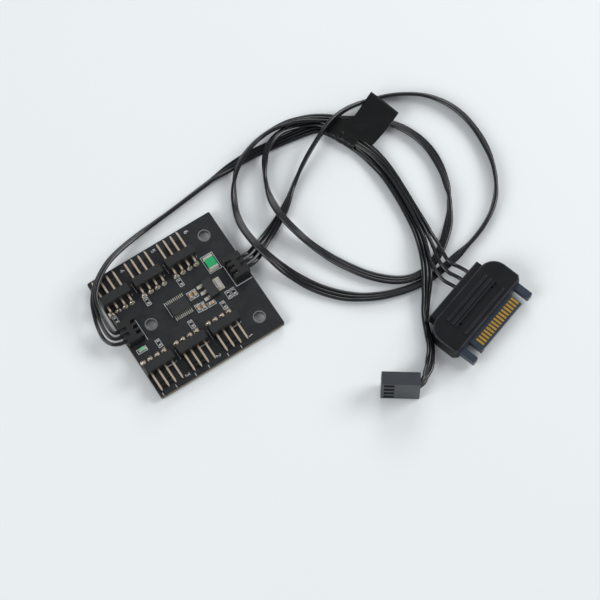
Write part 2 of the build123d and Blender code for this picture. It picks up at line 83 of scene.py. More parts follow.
# A socket that can stand in a Python sum: each operator adds one Math node
class Shade:
    def __init__(self, tree, socket):
        self.tree = tree
        self.socket = socket

    def combine(self, operation, left, right):
        made = self.tree.nodes.new("ShaderNodeMath")
        made.operation = operation
        for entry, value in zip(made.inputs, (left, right)):
            if isinstance(value, Shade):
                self.tree.links.new(value.socket, entry)
            else:
                entry.default_value = value
        return Shade(self.tree, made.outputs[0])

    def __add__(self, other):
        return self.combine("ADD", self, other)

    def __radd__(self, other):
        return self.combine("ADD", other, self)

    def __sub__(self, other):
        return self.combine("SUBTRACT", self, other)

    def __rsub__(self, other):
        return self.combine("SUBTRACT", other, self)

    def __mul__(self, other):
        return self.combine("MULTIPLY", self, other)

    def __rmul__(self, other):
        return self.combine("MULTIPLY", other, self)

    def __gt__(self, other):
        return self.combine("GREATER_THAN", self, other)

    def __lt__(self, other):
        return self.combine("LESS_THAN", self, other)

    def __abs__(self):
        return self.combine("ABSOLUTE", self, 0.0)


# One material: its shader, and one method for every other kind of node
class Finish:
    def __init__(self, name, values):
        self.material = bpy.data.materials.new(name)
        self.material.use_nodes = True
        self.tree = self.material.node_tree
        self.shader = self.tree.nodes["Principled BSDF"]
        self.feed(self.shader, values)

    def feed(self, made, values):
        for key, value in values.items():
            if isinstance(value, Shade):
                self.tree.links.new(value.socket, made.inputs[key])
            else:
                made.inputs[key].default_value = value

    def node(self, kind, settings, values, output=0):
        made = self.tree.nodes.new(kind)
        for key, value in settings.items():
            if key == "stops":
                ramp = made.color_ramp
                while len(ramp.elements) < len(value):
                    ramp.elements.new(0.5)
                for stop, (place, colour) in zip(ramp.elements, value):
                    stop.position = place
                    stop.color = colour
            else:
                setattr(made, key, value)
        self.feed(made, values)
        return Shade(self.tree, made.outputs[output])

    def place(self):
        return self.node("ShaderNodeTexCoord", {}, {}, "Object")

    def grain(self, size, detail=3.0, stretch=None):  # noise with features of that many millimetres
        place = self.place()
        if stretch:
            place = self.node("ShaderNodeMapping", {}, {"Vector": place, "Scale": stretch})
        values = {"Vector": place, "Scale": 1 / (size * mm), "Detail": detail}
        return self.node("ShaderNodeTexNoise", {}, values, 0)

    def between(self, share, first, second):  # a colour mix
        values = {0: share, 6: first, 7: second}
        return self.node("ShaderNodeMix", {"data_type": "RGBA"}, values, 2)

    def spread(self, share, low, high):  # a number mix
        return share * (high - low) + low

    def relief(self, height, depth):  # bump of that many millimetres
        return self.node("ShaderNodeBump", {}, {"Height": height, "Distance": depth * mm, "Strength": 1.0})

    def facing(self):  # how far the surface looks up or down
        normal = self.node("ShaderNodeNewGeometry", {}, {}, "True Normal")
        return abs(self.node("ShaderNodeSeparateXYZ", {}, {0: normal}, "Z"))


def tone(red, green, blue):
    return (red, green, blue, 1.0)


def mouldedPlastic(name, colour, worn, rough, grainSize, grainDepth, clouds=6.0, gloss=0.5, edge=None):
    made = Finish(name, {"Specular IOR Level": gloss})
    fine = made.grain(grainSize)
    cloud = made.grain(clouds, 4.0)
    skin = made.between(cloud * 0.7 + fine * 0.3, colour, worn)
    if edge:  # rounded edges get a painted highlight: a paler colour where they would catch the light
        lean = made.facing()
        skin = made.between((lean > 0.2) * (lean < 0.96) * cloud, skin, edge)
    made.feed(made.shader, {
        "Base Color": skin,
        "Roughness": made.spread(cloud, rough - 0.07, rough + 0.07),
        "Normal": made.relief(fine, grainDepth),
    })
    return made


def platedMetal(name, colour, dull, rough, streak, depth=0.004):
    made = Finish(name, {"Metallic": 1.0})
    scratch = made.grain(0.25, 4.0, streak)
    cloud = made.grain(1.6, 3.0)
    made.feed(made.shader, {
        "Base Color": made.between(cloud, dull, colour),
        "Roughness": made.spread(scratch, rough - 0.1, rough + 0.12),
        "Normal": made.relief(scratch, depth),
    })
    return made


# Mesh helpers


def linkPiece(name, mesh, look, smooth):
    piece = bpy.data.objects.new(name, mesh)
    scene.collection.objects.link(piece)
    mesh.materials.append(look.material)
    if smooth:
        mesh.polygons.foreach_set("use_smooth", [True] * len(mesh.polygons))
    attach(piece, "root")
    return piece


def middle(name):  # the centre of a solid's box, in millimetres
    low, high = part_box(name)
    return (low + high) / 2 / mm


def sealedMesh(name, corners, faces):  # corners in millimetres
    mesh = bpy.data.meshes.new(name)
    mesh.from_pydata([Vector(corner) * mm for corner in corners], [], faces)
    shape = bmesh.new()
    shape.from_mesh(mesh)
    bmesh.ops.recalc_face_normals(shape, faces=shape.faces)
    shape.to_mesh(mesh)
    shape.free()
    return mesh


def bridgeRings(faces, first, rings, sides, looped=False):
    for i in range(rings if looped else rings - 1):
        for k in range(sides):
            a = first + i * sides
            b = first + (i + 1) % rings * sides
            faces.append((a + k, a + (k + 1) % sides, b + (k + 1) % sides, b + k))


def capRings(faces, first, rings, sides):
    last = first + (rings - 1) * sides
    faces.append(tuple(range(first + sides - 1, first - 1, -1)))
    faces.append(tuple(range(last, last + sides)))


# Wires and leads

wireSkin = {
    "colour": tone(0.0036, 0.0041, 0.0049),
    "worn": tone(0.0070, 0.0078, 0.0093),
    "rough": 0.19,
    "ringSides": 14,
    "looseFrom": 40.0,  # nearer than this to a plug, a lead lies straighter
    "looseLean": 0.12,
    "loosePitch": 0.06,
    "looseWire": 0.12,
    "leadWidth": 0.0039,  # metres, three wires side by side
}


def wireFinish():
    made = Finish("wire_skin", {"Specular IOR Level": 0.55})
    cloud = made.grain(9.0, 3.0)
    fine = made.grain(0.35, 3.0)
    made.feed(made.shader, {
        "Base Color": made.between(cloud, wireSkin["colour"], wireSkin["worn"]),
        "Roughness": made.spread(fine, wireSkin["rough"] - 0.08, wireSkin["rough"] + 0.08),
        "Normal": made.relief(made.grain(2.4, 2.0), 0.006),
    })
    return made


wireLook = wireFinish()

# A lead is a flat set of three wires: "route" is its line, "lean" its turn from flat and
# "pitch" the spacing of its wires, each given at distances along the lead.
# Negative distances count back from the far plug.
powerLead = {
    "name": "powerLead",
    "replaces": "power_lead",
    "wire": 1.27,
    "length": 0.565,
    "carries": ("power_plug", "drive_plug_hood", "drive_plug_insert", "drive_plug_contacts"),
    "pitch": [(0, 2.0), (4, 1.9), (14, 1.4), (28, 1.26), (-36, 1.26), (-22, 1.5), (-10, 2.5),
              (-3, 3.3), (0.0, 3.3)],
    "lean": [(0, 0), (6, 0), (14, 18), (22, 35), (32, 72), (42, 84), (58, 84), (70, 72), (90, 64),
             (104, 54), (118, 58), (130, 82), (142, 102), (158, 106), (165, 134), (182, 136),
             (198, 150), (206, 168), (216, 172), (224, 158), (233, 138), (246, 132), (256, 112),
             (270, 64), (284, 66), (294, 44), (304, 18), (314, 46), (332, 40), (345, 38), (355, 54),
             (363, 96), (371, 134), (389, 136), (402, 148), (417, 148), (430, 136), (446, 130),
             (456, 96), (464, 66), (474, 48), (484, 8), (492, 2), (504, 4), (514, 18), (524, 30),
             (534, 32), (542, 22), (549, 6), (556, 0), (0.0, 0)],
    "intoStart": 0.3,
    "intoEnd": 1.6,
    "route": [(23.0, 1.0, 5.2), (25.3, 1.0, 5.2), (27.7, 2.0, 3.7), (30.2, 3.6, 2.2),
              (33.6, 5.4, 1.2), (39.0, 7.6, 1.1), (45.5, 11.2, 1.1), (51.5, 16.2, 1.8),
              (58.2, 20.4, 3.8), (65.4, 24.0, 5.6), (73.0, 27.4, 5.6), (80.5, 28.8, 4.2),
              (88.2, 28.0, 2.2), (97.6, 25.2, 1.9), (106.4, 19.2, 1.8), (111.8, 9.6, 1.7),
              (112.8, -2.5, 1.6), (110.0, -15.0, 1.6), (103.4, -25.0, 1.7), (93.0, -30.8, 1.5),
              (81.0, -33.6, 1.2), (69.6, -35.4, 1.1), (58.0, -33.2, 1.1), (46.6, -27.4, 1.1),
              (38.4, -18.4, 1.1), (33.2, -8.6, 2.4), (30.4, -1.0, 5.2), (29.0, 6.0, 5.2),
              (29.2, 13.5, 3.0), (31.4, 20.6, 1.6), (35.6, 27.6, 2.2), (40.1, 31.5, 4.2),
              (46.1, 34.1, 4.4), (52.6, 35.8, 3.6), (60.1, 35.6, 3.6), (68.2, 32.9, 3.8),
              (77.0, 27.6, 1.6), (86.0, 22.2, 1.2), (92.6, 14.8, 1.4), (96.2, 5.0, 1.4),
              (95.4, -6.0, 1.3), (91.0, -17.0, 1.2), (83.0, -26.2, 1.1), (73.2, -32.2, 1.1),
              (64.2, -31.8, 1.1), (56.0, -25.2, 1.1), (49.6, -15.4, 1.1), (45.0, -5.2, 2.0),
              (42.2, 3.6, 4.7), (41.4, 11.4, 4.7), (43.2, 19.2, 2.2), (46.4, 26.0, 2.2),
              (50.0, 30.6, 4.2), (55.0, 33.1, 4.2), (60.6, 33.9, 2.4), (66.4, 33.0, 1.5),
              (71.6, 30.0, 2.4), (75.2, 21.7, 2.5), (79.6, 12.7, 2.2), (80.6, 2.6, 1.9),
              (79.9, -8.5, 1.8), (78.9, -18.6, 2.3), (77.2, -26.6, 4.4), (75.5, -32.6, 4.9),
              (75.9, -37.2, 4.5), (77.6, -39.4, 3.9), (78.53, -41.65, 3.9)],
}
signalLead = {
    "name": "signalLead",
    "replaces": "signal_lead",
    "wire": 1.25,
    "length": 0.2246,
    "carries": ("signal_plug", "fan_plug_housing", "fan_plug_contacts"),
    "pitch": [(0, 2.0), (4, 1.8), (14, 1.4), (30, 1.24), (-30, 1.24), (-14, 1.4), (-4, 2.4),
              (0.0, 2.54)],
    "lean": [(0, 0), (8, 24), (20, 58), (40, 54), (60, 64), (76, 60), (86, 22), (104, 14), (112, 4),
             (126, 0), (136, 18), (146, 38), (156, 38), (166, 22), (172, 14), (184, 10), (193, 46),
             (200, 62), (-18, 54), (-10, 56), (-4, 80), (0.0, 90)],
    "intoStart": 0.3,
    "intoEnd": 2.5,
    "route": [(-23.0, 0.6, 5.2), (-25.3, 0.6, 5.2), (-27.0, 3.0, 5.6), (-26.8, 7.2, 6.4),
              (-25.9, 11.4, 7.0), (-24.7, 15.2, 7.2), (-22.4, 18.4, 7.1), (-19.4, 21.0, 7.0),
              (-16.0, 23.2, 6.8), (-12.4, 25.0, 6.0), (-7.7, 26.6, 4.6), (-2.2, 28.0, 3.0),
              (3.4, 29.1, 1.8), (12.0, 29.9, 1.4), (22.0, 31.1, 1.3), (35.0, 32.6, 1.1),
              (45.0, 33.2, 1.1), (54.0, 32.0, 1.1), (60.0, 31.0, 1.3), (65.2, 30.2, 1.5),
              (70.3, 29.0, 1.0), (74.6, 21.5, 0.9), (77.6, 12.0, 1.2), (78.5, 2.2, 1.3),
              (77.9, -8.2, 1.2), (76.8, -18.2, 1.9), (74.0, -26.4, 4.1), (70.4, -33.8, 4.6),
              (65.6, -40.2, 2.6), (61.3, -45.9, 1.6), (59.5, -50.8, 1.5), (58.0, -54.4, 2.2),
              (56.0, -57.2, 3.0), (53.5, -60.0, 4.3), (50.5, -62.2, 5.7), (48.6, -63.9, 6.5),
              (47.11, -64.14, 6.58)],
}


# The smooth line of a route, in metres, as Blender evaluates its spline
def routeLine(name, route):
    data = bpy.data.curves.new(name, "CURVE")
    data.dimensions = "3D"
    spline = data.splines.new("NURBS")
    spline.points.add(len(route) - 1)
    for point, place in zip(spline.points, route):
        point.co = (*(Vector(place) * mm), 1.0)
    spline.order_u = 3
    spline.use_endpoint_u = True
    spline.resolution_u = 10
    holder = bpy.data.objects.new(name, data)
    scene.collection.objects.link(holder)
    bpy.context.view_layer.update()
    drawn = bpy.data.meshes.new_from_object(holder.evaluated_get(bpy.context.evaluated_depsgraph_get()))
    line = [vertex.co.copy() for vertex in drawn.vertices]
    bpy.data.objects.remove(holder)
    bpy.data.meshes.remove(drawn)
    return line


# A value between stations, eased so that it has no kinks
def alongStations(stations, distance, total):
    placed = []
    for i, (at, value) in enumerate(stations):
        fromEnd = at < 0 or (at == 0.0 and i > 0)
        placed.append((total + at if fromEnd else at, value))
    for (near, first), (far, second) in zip(placed, placed[1:]):
        if distance <= far:
            share = min(max((distance - near) / (far - near), 0.0), 1.0)
            share = share * share * (3 - 2 * share)
            return first + (second - first) * share
    return placed[-1][1]


def addTube(corners, faces, line, radius, sides):  # a closed round tube along a line
    first = len(corners)
    across = None
    for i, point in enumerate(line):
        heading = (line[min(i + 1, len(line) - 1)] - line[max(i - 1, 0)]).normalized()
        if across is None:
            across = heading.cross(Vector((0, 0, 1))).normalized()
        across = (across - heading * across.dot(heading)).normalized()
        over = heading.cross(across)
        for k in range(sides):
            angle = 2 * math.pi * k / sides
            corners.append(point + (across * math.cos(angle) + over * math.sin(angle)) * radius)
    for i in range(len(line) - 1):
        for k in range(sides):
            a = first + i * sides + k
            b = first + i * sides + (k + 1) % sides
            faces.append((a, b, b + sides, a + sides))
    last = first + (len(line) - 1) * sides
    faces.append(tuple(first + k for k in reversed(range(sides))))
    faces.append(tuple(last + k for k in range(sides)))


def makeLead(lead):  # lays a lead's three wires and hides the solid that it replaces
    centre = routeLine(lead["name"] + "Line", lead["route"])
    radius = lead["wire"] * mm / 2
    steps = [0.0]
    for a, b in zip(centre, centre[1:]):
        steps.append(steps[-1] + (b - a).length / mm)
    total = steps[-1]
    wires = [[], [], []]
    for i, (point, distance) in enumerate(zip(centre, steps)):
        heading = (centre[min(i + 1, len(centre) - 1)] - centre[max(i - 1, 0)]).normalized()
        side = heading.cross(Vector((0, 0, 1))).normalized()
        over = side.cross(heading)
        lean = math.radians(alongStations(lead["lean"], distance, total))
        pitch = alongStations(lead["pitch"], distance, total) * mm
        inner = min(1.0, distance / wireSkin["looseFrom"], (total - distance) / wireSkin["looseFrom"])
        lean += inner * wireSkin["looseLean"] * noise.noise((distance / 23, 1.7, lead["wire"]))
        pitch *= 1 + inner * wireSkin["loosePitch"] * noise.noise((distance / 17, 8.1, lead["wire"]))
        spread = side * math.cos(lean) + over * math.sin(lean)
        lowest = radius + abs(spread.z) * pitch + 0.05 * mm
        raised = Vector((point.x, point.y, max(point.z, lowest)))
        for k, wire in enumerate(wires):
            drift = noise.noise((distance / 13, k * 5.3, lead["wire"] * 3))
            stray = inner * wireSkin["looseWire"] * mm * drift
            place = raised + spread * pitch * (k - 1) + over * stray
            place.z = max(place.z, radius + 0.02 * mm)
            wire.append(place)
    corners = []
    faces = []
    for wire in wires:
        run = (wire[0] - wire[1]).normalized() * lead["intoStart"] * mm
        end = (wire[-1] - wire[-2]).normalized() * lead["intoEnd"] * mm
        addTube(corners, faces, [wire[0] + run] + wire + [wire[-1] + end], radius, wireSkin["ringSides"])
    mesh = bpy.data.meshes.new(lead["name"])
    mesh.from_pydata(corners, [], faces)
    piece = linkPiece(lead["name"], mesh, wireLook, True)
    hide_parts(lead["replaces"])
    print(lead["name"], "laid,", round(total), "mm")
    return piece


# Label round the leads

cableWrap = {
    "place": (74.2, 21.34),
    "turn": -67.8,  # degrees, the way that the leads run through it
    "start": -6.5,
    "end": 4.9,
    "lip": (3.3, 1.7),  # how far the open end's lower lip reaches out, and the height where it begins
    "sides": [(-2.2, 3.5), (-1.75, 3.4)],  # the sleeve's left and right sides, at its start and at its end
    "top": 3.6,
    "wall": 0.22,
    "square": 2.6,
    "inset": (0.15, 0.1),  # room for creases at the sides and at the top
    "creaseRun": 0.55,
    "creases": [(0.30, 1.0, 1.6, 0.0), (0.16, 2.3, 3.5, 9.0)],  # depth, closeness along and round, start
    "stations": 44,
    "ringSides": 56,
    "flagRoot": (1.7, 2.9),
    "flagLean": 14.0,
    "flagLength": 15.5,
    "flagTuck": 3.6,  # how far the flag's film reaches back over the sleeve
    "flagEdges": (-0.6, 9.6),
    "flagThick": 0.2,
    "flagBow": (0.4, 1.2),  # how far the right edge bulges, and how far it moves out to the far corner
    "flagOpens": 4.5,  # how fast the flag widens where it leaves the sleeve's end
    "farSlope": (0.7, 0.3),  # the far edge isn't quite square
    "curl": (0.5, 0.4, 1.2),
    "ripple": (0.2, 0.35, 3.1),  # height, closeness and start
    "tuckDepth": 0.3,
    "flagCells": 28,
    "paleFrom": 0.3,  # share of the flag beyond which its cut edge shows pale
    "web": (5.2, 2.15, 1.0),  # how far and where the film flares into the sleeve, and how fast it narrows
    "colour": tone(0.0026, 0.0028, 0.0031),
    "worn": tone(0.0058, 0.0061, 0.0066),
    "edge": tone(0.66, 0.67, 0.66),
    "edgeDark": tone(0.30, 0.30, 0.29),
}


def wrapFinish():
    made = Finish("label_vinyl", {"Specular IOR Level": 0.28})
    cloud = made.grain(3.5, 4.0)
    made.feed(made.shader, {
        "Base Color": made.between(cloud, cableWrap["colour"], cableWrap["worn"]),
        "Roughness": made.spread(cloud, 0.24, 0.42),
        "Normal": made.relief(made.grain(0.9, 3.0), 0.08),
    })
    return made


def cutEdgeFinish():
    made = Finish("label_cut_edge", {"Specular IOR Level": 0.4})
    fleck = made.grain(0.6, 3.0)
    made.feed(made.shader, {
        "Base Color": made.between(fleck, cableWrap["edgeDark"], cableWrap["edge"]),
        "Roughness": made.spread(fleck, 0.4, 0.6),
    })
    return made


def sleeveSides(share):
    return [near + (far - near) * share * share for near, far in zip(*cableWrap["sides"])]


# One point of the sleeve's skin: share along it, angle round it and depth under the outer face
def sleevePoint(share, angle, depth):
    power = 2 / cableWrap["square"]
    c = math.cos(angle)
    s = math.sin(angle)
    start = cableWrap["start"]
    run = (start + share * (cableWrap["end"] - start)) * cableWrap["creaseRun"]
    crease = 0.0
    for deep, along, around, shift in cableWrap["creases"]:
        crease += deep * noise.noise((run * along, c * around, s * around + shift))
    swell = crease * min(1.0, 0.3 + 4 * share * (1 - share)) - depth
    left, right = sleeveSides(share)
    half = cableWrap["top"] / 2
    sideInset, topInset = cableWrap["inset"]
    y = (left + right) / 2 + math.copysign(abs(c) ** power, c) * ((right - left) / 2 - sideInset + swell)
    z = half + math.copysign(abs(s) ** power, s) * (half - topInset + swell)
    lip, lipTop = cableWrap["lip"]
    low = min(max(1 - z / lipTop, 0.0), 1.0)
    end = cableWrap["end"] + lip * low * low * (3 - 2 * low)
    return (start + share * (end - start), y, max(z, 0.03 + depth))


# The height of the flag's film, which leaves the sleeve's top without a fold
def filmHeight(share, y):
    half = cableWrap["top"] / 2
    left, right = sleeveSides(share)
    out = min(abs(y - (left + right) / 2) / ((right - left) / 2 - 0.1), 1.0)
    sleeve = half + (half - 0.1) * (1 - out ** cableWrap["square"]) ** (1 / cableWrap["square"])
    rootY, rootZ = cableWrap["flagRoot"]
    film = rootZ + 0.5 + (y - rootY) * math.tan(math.radians(cableWrap["flagLean"]))
    return (sleeve + film + math.hypot(sleeve - film, 0.5)) / 2 - 0.16


# One point of the flag: share along it from the sleeve, share across it and which face
def flagPoint(along, across, face):
    length = cableWrap["flagLength"] * math.cos(math.radians(cableWrap["flagLean"]))
    reach = along * (length + cableWrap["flagTuck"]) - cableWrap["flagTuck"]
    y = cableWrap["flagRoot"][0] + reach
    out = max(reach, 0.0) / length
    left, right = cableWrap["flagEdges"]
    flare, flareAt, narrowing = cableWrap["web"]
    left -= flare * min(1.0, math.exp((flareAt - reach) / narrowing))
    bulge, outward = cableWrap["flagBow"]
    right += bulge * math.sin(math.pi * out) + outward * out
    right = min(right, cableWrap["end"] + max(reach, 0.0) * cableWrap["flagOpens"])
    x = left + across * (right - left)
    slant, pivot = cableWrap["farSlope"]
    slope = slant * out * (across - pivot)
    lift, hinge, droop = cableWrap["curl"]
    curl = lift * math.sin(math.pi * out) * (hinge - across) - droop * across * across * out * out
    height, close, shift = cableWrap["ripple"]
    curl += height * noise.noise((x * close, y * close, shift)) * min(1.0, 0.25 + out * 2)
    share = min(max((x - cableWrap["start"]) / (cableWrap["end"] - cableWrap["start"]), 0.0), 1.0)
    curl -= cableWrap["tuckDepth"] * max(0.0, -1.0 - reach) / (cableWrap["flagTuck"] - 1.0)
    return (x, y - slope, filmHeight(share, y) + curl + face * cableWrap["flagThick"] / 2)


def makeWrap():
    corners = []
    faces = []
    rim = []
    sides = cableWrap["ringSides"]
    shares = [i / (cableWrap["stations"] - 1) for i in range(cableWrap["stations"])]
    rings = [(share, 0.0) for share in shares] + [(share, cableWrap["wall"]) for share in reversed(shares)]
    for share, depth in rings:
        corners += [sleevePoint(share, 2 * math.pi * k / sides, depth) for k in range(sides)]
    bridgeRings(faces, 0, len(rings), sides, True)
    for turnRing in (cableWrap["stations"] - 1, len(rings) - 1):
        rim += range(turnRing * sides, (turnRing + 1) * sides)
    count = cableWrap["flagCells"]
    first = len(corners)
    for face in (1, -1):
        for i in range(count):
            for j in range(count):
                corners.append(flagPoint(i / (count - 1), j / (count - 1), face))
    for i in range(count - 1):
        for j in range(count - 1):
            a = first + i * count + j
            b = a + count * count
            faces.append((a, a + 1, a + count + 1, a + count))
            faces.append((b, b + count, b + count + 1, b + 1))
    border = [(0, j) for j in range(count - 1)] + [(i, count - 1) for i in range(count - 1)]
    border += [(count - 1, j) for j in range(count - 1, 0, -1)] + [(i, 0) for i in range(count - 1, 0, -1)]
    for (i, j), (m, n) in zip(border, border[1:] + border[:1]):
        a = first + i * count + j
        b = first + m * count + n
        if min(i, m) > count * cableWrap["paleFrom"]:
            rim.append(len(faces))
        faces.append((a, b, b + count * count, a + count * count))
    turned = Matrix.Rotation(math.radians(cableWrap["turn"]), 3, "Z")
    placed = [turned @ Vector(corner) + Vector((*cableWrap["place"], 0)) for corner in corners]
    mesh = sealedMesh("labelWrap", placed, faces)
    piece = linkPiece("labelWrap", mesh, wrapFinish(), True)
    mesh.materials.append(cutEdgeFinish().material)
    for number in rim:
        mesh.polygons[number].material_index = 1
        mesh.polygons[number].use_smooth = False
    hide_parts("cable_label")
    print("label wrapped")
    return piece


wrap = makeWrap()
makeLead(powerLead)
makeLead(signalLead)

# Board

boardMask = {
    "colour": tone(0.0052, 0.0068, 0.0086),
    "pour": tone(0.0095, 0.0115, 0.0138),
    "edge": tone(0.20, 0.165, 0.11),
    "edgeDark": tone(0.10, 0.08, 0.055),
    "rough": 0.40,
}


def boardFinish():
    made = Finish("board_mask", {"Specular IOR Level": 0.5})
    pour = made.node("ShaderNodeValToRGB", {"stops": [(0.46, tone(0, 0, 0)), (0.54, tone(1, 1, 1))]},
                     {0: made.grain(5.0, 2.0)})
    fine = made.grain(0.22, 3.0)
    mask = made.between(pour, boardMask["colour"], boardMask["pour"])
    weave = made.grain(0.4, 2.0, (0.35, 0.35, 3.0))
    edge = made.between(weave, boardMask["edgeDark"], boardMask["edge"])
    wall = made.facing() < 0.5
    made.feed(made.shader, {
        "Base Color": made.between(wall, mask, edge),
        "Roughness": made.spread(fine, boardMask["rough"] - 0.08, boardMask["rough"] + 0.1) + wall * 0.3,
        "Normal": made.relief(fine, 0.008),
    })
    return made


def paint(look, names):
    for name in names:
        for slot in nodes[name].material_slots:
            slot.material = look.material


headerLook = mouldedPlastic("header_plastic", tone(0.0055, 0.0058, 0.0064), tone(0.011, 0.0115, 0.0125),
                            0.5, 0.16, 0.012)
shellLook = mouldedPlastic("shell_plastic", tone(0.0042, 0.0045, 0.0050), tone(0.008, 0.0084, 0.0092),
                           0.46, 0.16, 0.01)
plugLook = mouldedPlastic("plug_plastic", tone(0.0055, 0.0058, 0.0065), tone(0.011, 0.0115, 0.0125),
                          0.48, 0.16, 0.01)
chipLook = mouldedPlastic("chip_plastic", tone(0.010, 0.0104, 0.0112), tone(0.017, 0.0175, 0.0185),
                          0.5, 0.12, 0.008, 2.0)
# the hood's edge colour is a painted highlight along its rounded edges
hoodLook = mouldedPlastic("hood_plastic", tone(0.0022, 0.0027, 0.0034), tone(0.0055, 0.0064, 0.0075),
                          0.42, 0.2, 0.016, gloss=0.24, edge=tone(0.062, 0.070, 0.080))
insertLook = mouldedPlastic("insert_plastic", tone(0.014, 0.023, 0.036), tone(0.025, 0.038, 0.056),
                            0.36, 0.2, 0.006)
fanPlugLook = mouldedPlastic("fan_plug_plastic", tone(0.029, 0.034, 0.040), tone(0.042, 0.048, 0.055),
                             0.3, 0.22, 0.008, gloss=0.36)
pinLook = platedMetal("pin_metal", tone(0.96, 0.84, 0.69), tone(0.84, 0.69, 0.53),
                      0.28, (6.0, 0.6, 6.0))
tinLook = platedMetal("lead_metal", tone(0.95, 0.93, 0.88), tone(0.76, 0.73, 0.67),
                      0.3, (2.0, 2.0, 2.0))
goldLook = platedMetal("contact_gold", tone(0.84, 0.53, 0.11), tone(0.56, 0.32, 0.05),
                       0.3, (4.0, 1.0, 4.0))
fuseLook = mouldedPlastic("fuse_green", tone(0.008, 0.27, 0.085), tone(0.02, 0.40, 0.15),
                          0.36, 0.3, 0.012, 1.2)
lampBaseLook = mouldedPlastic("lamp_white", tone(0.70, 0.72, 0.68), tone(0.82, 0.83, 0.80),
                              0.45, 0.2, 0.004, 1.0)
lampLensLook = mouldedPlastic("lamp_lens", tone(0.05, 0.42, 0.16), tone(0.20, 0.66, 0.34),
                              0.22, 0.3, 0.004, 0.6)
resistorLook = mouldedPlastic("resistor_black", tone(0.006, 0.006, 0.007), tone(0.012, 0.012, 0.013),
                              0.3, 0.2, 0.004, 1.0)
capacitorLook = mouldedPlastic("capacitor_tan", tone(0.34, 0.18, 0.07), tone(0.46, 0.27, 0.12),
                               0.42, 0.2, 0.006, 0.8)

paint(boardFinish(), ["circuit_board"])
for number in range(1, 7):
    paint(headerLook, [f"fan_header_{number}_housing"])
    paint(pinLook, [f"fan_header_{number}_pins"])
for lead in ("power", "signal"):
    paint(shellLook, [lead + "_header_shell"])
    paint(pinLook, [lead + "_header_pins"])
    paint(plugLook, [lead + "_plug"])
paint(chipLook, ["driver_chip_body", "regulator_body"])
paint(tinLook, ["driver_chip_leads", "regulator_leads", "fuse_terminals", "lamp_terminals",
                "resistor_terminals", "capacitor_terminals", "fan_plug_contacts"])
paint(fuseLook, ["fuse_body"])
paint(lampBaseLook, ["lamp_base"])
paint(lampLensLook, ["lamp_lens"])
paint(resistorLook, [f"resistor_{i}" for i in range(1, 9)])
paint(capacitorLook, [f"capacitor_{i}" for i in range(1, 6)])
paint(hoodLook, ["drive_plug_hood"])
paint(insertLook, ["drive_plug_insert"])
paint(goldLook, ["drive_plug_contacts"])
paint(fanPlugLook, ["fan_plug_housing"])
print("solids painted")

# Fourth rib on the drive plug's hood

hoodRib = {
    "place": (78.3, -57.05),
    "turn": 17.7,  # degrees
    "row": 5.8,  # distance from the hood's front edge
    "length": 20.0,
    "width": 0.5,
    "rise": 0.4,
    "ribsRise": 0.55,  # how far the hood's other ribs stand up
    "sides": 32,
    "rings": [(1.0, -0.06), (1.0, 0.5), (0.84, 0.85), (0.5, 1.0)],  # share of the width, share of the rise
}


def makeHoodRib():
    corners = []
    faces = []
    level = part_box("drive_plug_hood")[1].z / mm - hoodRib["ribsRise"]
    half = hoodRib["width"] / 2
    turned = Matrix.Rotation(math.radians(hoodRib["turn"]), 3, "Z")
    for share, rise in hoodRib["rings"]:
        for k in range(hoodRib["sides"]):
            angle = 2 * math.pi * (k + 0.5) / hoodRib["sides"]
            c = math.cos(angle)
            x = math.copysign(hoodRib["length"] / 2 - half, c) + c * half * share
            y = hoodRib["row"] + math.sin(angle) * half * share
            place = turned @ Vector((x, y, level + rise * hoodRib["rise"]))
            corners.append(place + Vector((*hoodRib["place"], 0)))
    bridgeRings(faces, 0, len(hoodRib["rings"]), hoodRib["sides"])
    capRings(faces, 0, len(hoodRib["rings"]), hoodRib["sides"])
    linkPiece("hoodRib", sealedMesh("hoodRib", corners, faces), hoodLook, False)
    print("hood rib set")


makeHoodRib()

# Tin, plating and ink on the board

boardFaces = {
    "top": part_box("circuit_board")[1].z / mm,
    "back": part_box("circuit_board")[0].z / mm,
    "padHeight": 0.07,
    "inkHeight": 0.03,
    "sunk": 0.02,  # how far tin and ink reach into the board
}


solderJoint = {
    "profile": [(1.04, -0.02), (1.03, 0.10), (0.90, 0.26), (0.68, 0.46), (0.54, 0.72), (0.44, 0.92)],
    "sides": 20,
    "lumps": (0.09, 1.7),  # unevenness and its closeness
    "squareTo": (0.3, 0.92),  # height up to which a square pad stays square, and its size
    "halfPin": 0.32,
    "backShare": 0.9,
    "squarePads": {1: 1, 2: 1, 3: 1, 4: -1, 5: -1, 6: -1},  # which end of each header has the square pad
    "pads": (-3.81, -1.27, 1.27, 3.81),
    "smallShare": 0.62,  # joints in the wire headers against those of the fan headers
    "legs": {"power": (18.6, (3.0, 1.0, -1.0)), "signal": (-18.6, (2.6, 0.6, -1.4))},
}


# A cone of solder round a leg, up from the board or down from its back
def addJoint(corners, faces, x, y, level, way, share, square):
    first = len(corners)
    sides = solderJoint["sides"]
    profile = solderJoint["profile"]
    uneven, close = solderJoint["lumps"]
    squareTop, squareSize = solderJoint["squareTo"]
    for radius, height in profile:
        flat = square * max(0.0, 1 - height / squareTop)
        for k in range(sides):
            angle = 2 * math.pi * (k + 0.5) / sides
            c = math.cos(angle)
            s = math.sin(angle)
            corner = 1 / max(abs(c), abs(s))
            lump = 1 + uneven * noise.noise((x * close + c, y * close + s, height * 2))
            reach = radius * share * lump * (1 + flat * (corner * squareSize - 1))
            corners.append((x + reach * c, y + reach * s, level + way * height * share))
    bridgeRings(faces, first, len(profile), sides)
    capRings(faces, first, len(profile), sides)


